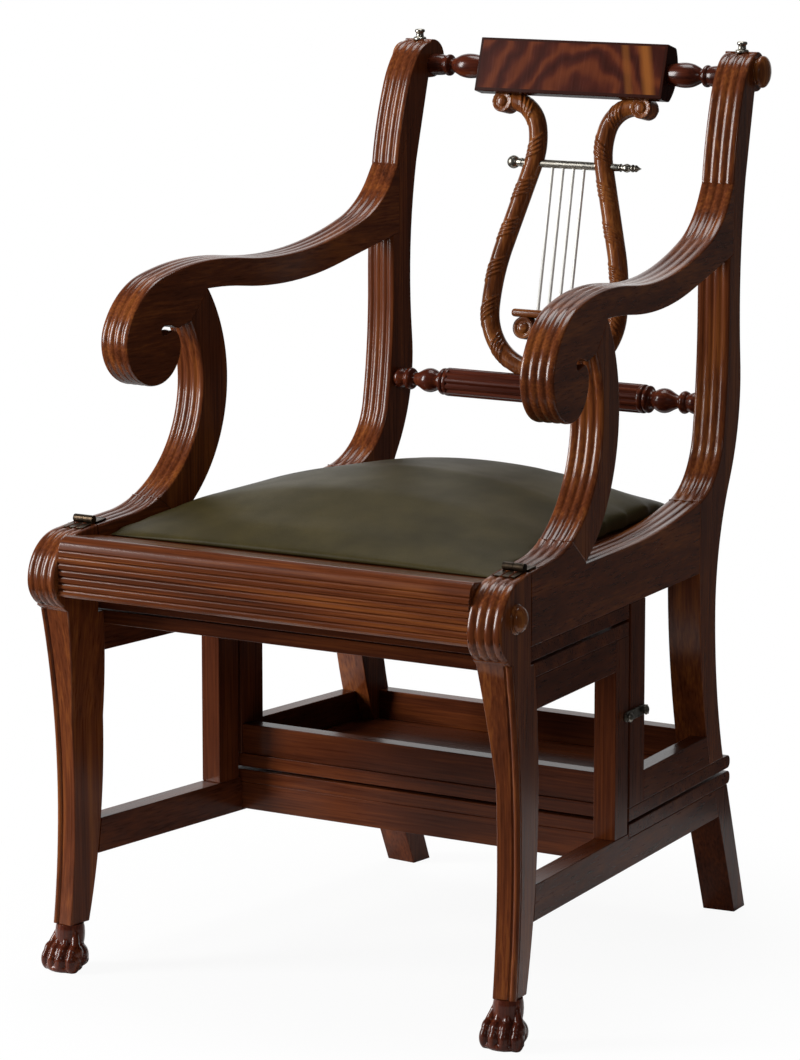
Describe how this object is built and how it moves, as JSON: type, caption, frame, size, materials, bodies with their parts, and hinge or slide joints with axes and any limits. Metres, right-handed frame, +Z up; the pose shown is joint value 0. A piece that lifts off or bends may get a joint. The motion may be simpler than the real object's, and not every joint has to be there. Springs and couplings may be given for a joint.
{
  "type": "lyre back armchair with fold-out library steps",
  "caption": "Wooden armchair with reeded scroll arms, a metal lyre in its back and a crowned leather seat; it hinges over at the front rail to become library steps.",
  "frame": {"origin": "on the floor under the middle of the chair's bounding box", "axes": "+Z up, -Y is the front that the sitter faces, +X to the right in a view of the front"},
  "size_m": [0.5494, 0.6322, 0.9],
  "materials": {
    "mahogany": "polished",
    "flame_mahogany": "polished",
    "leather": "smooth satin",
    "pewter": "aged satin",
    "bronze": "dark aged"
  },
  "bodies": {
    "base": {"front_leg_left": "mahogany", "front_leg_right": "mahogany", "paw_foot_left": "mahogany", "paw_foot_right": "mahogany", "front_post_left": "mahogany", "front_post_right": "mahogany", "lower_rail_left": "mahogany", "lower_rail_right": "mahogany", "rear_foot_left": "mahogany", "rear_foot_right": "mahogany", "tread_2_side_apron_left": "mahogany", "tread_2_side_apron_right": "mahogany", "leg_roundels": "mahogany", "front_rail": "mahogany", "tread_1": "mahogany", "tread_2": "mahogany", "tread_2_front_apron": "mahogany", "lower_front_apron": "mahogany", "lower_rear_apron": "mahogany", "hinge_base_leaves": "bronze", "hook_pivots": "bronze"},
    "upper": {"upright_left": "mahogany", "upright_right": "mahogany", "seat_rail_left": "mahogany", "seat_rail_right": "mahogany", "arm_left": "mahogany", "arm_right": "mahogany", "arm_support_left": "mahogany", "arm_support_right": "mahogany", "lyre_arm_left": "mahogany", "lyre_arm_right": "mahogany", "rear_post_left": "mahogany", "rear_post_right": "mahogany", "tray_side_apron_left": "mahogany", "tray_side_apron_right": "mahogany", "crest_tablet": "flame_mahogany", "crest_spindles": "mahogany", "crest_bosses": "mahogany", "stay_rail": "mahogany", "lyre_bridge": "mahogany", "lyre_crossbar": "pewter", "lyre_strings": "pewter", "seat_board": "mahogany", "seat_cushion": "leather", "seat_front_rail": "mahogany", "seat_rear_rail": "mahogany", "tray_front_apron": "mahogany", "tray_rear_apron": "mahogany", "tread_3": "mahogany", "tread_4": "mahogany", "glide_studs": "bronze", "hinge_upper_leaves": "bronze", "hook_catches": "bronze"},
    "hook_left": {"hook_left": "bronze"},
    "hook_right": {"hook_right": "bronze"}
  },
  "joints": [
    {"name": "steps_fold", "type": "hinge", "parent": "base", "child": "upper", "pos_m": [0, -0.2476, 0.45], "axis": [1, 0, 0], "range_deg": [0, 180]},
    {"name": "hook_left_swing", "type": "hinge", "parent": "base", "child": "hook_left", "pos_m": [-0.24146, -0.02578, 0.266], "axis": [0.9954, -0.0955, 0], "range_deg": [0, 110]},
    {"name": "hook_right_swing", "type": "hinge", "parent": "base", "child": "hook_right", "pos_m": [0.24146, -0.02578, 0.266], "axis": [0.9954, 0.0955, 0], "range_deg": [0, 110]}
  ]
}
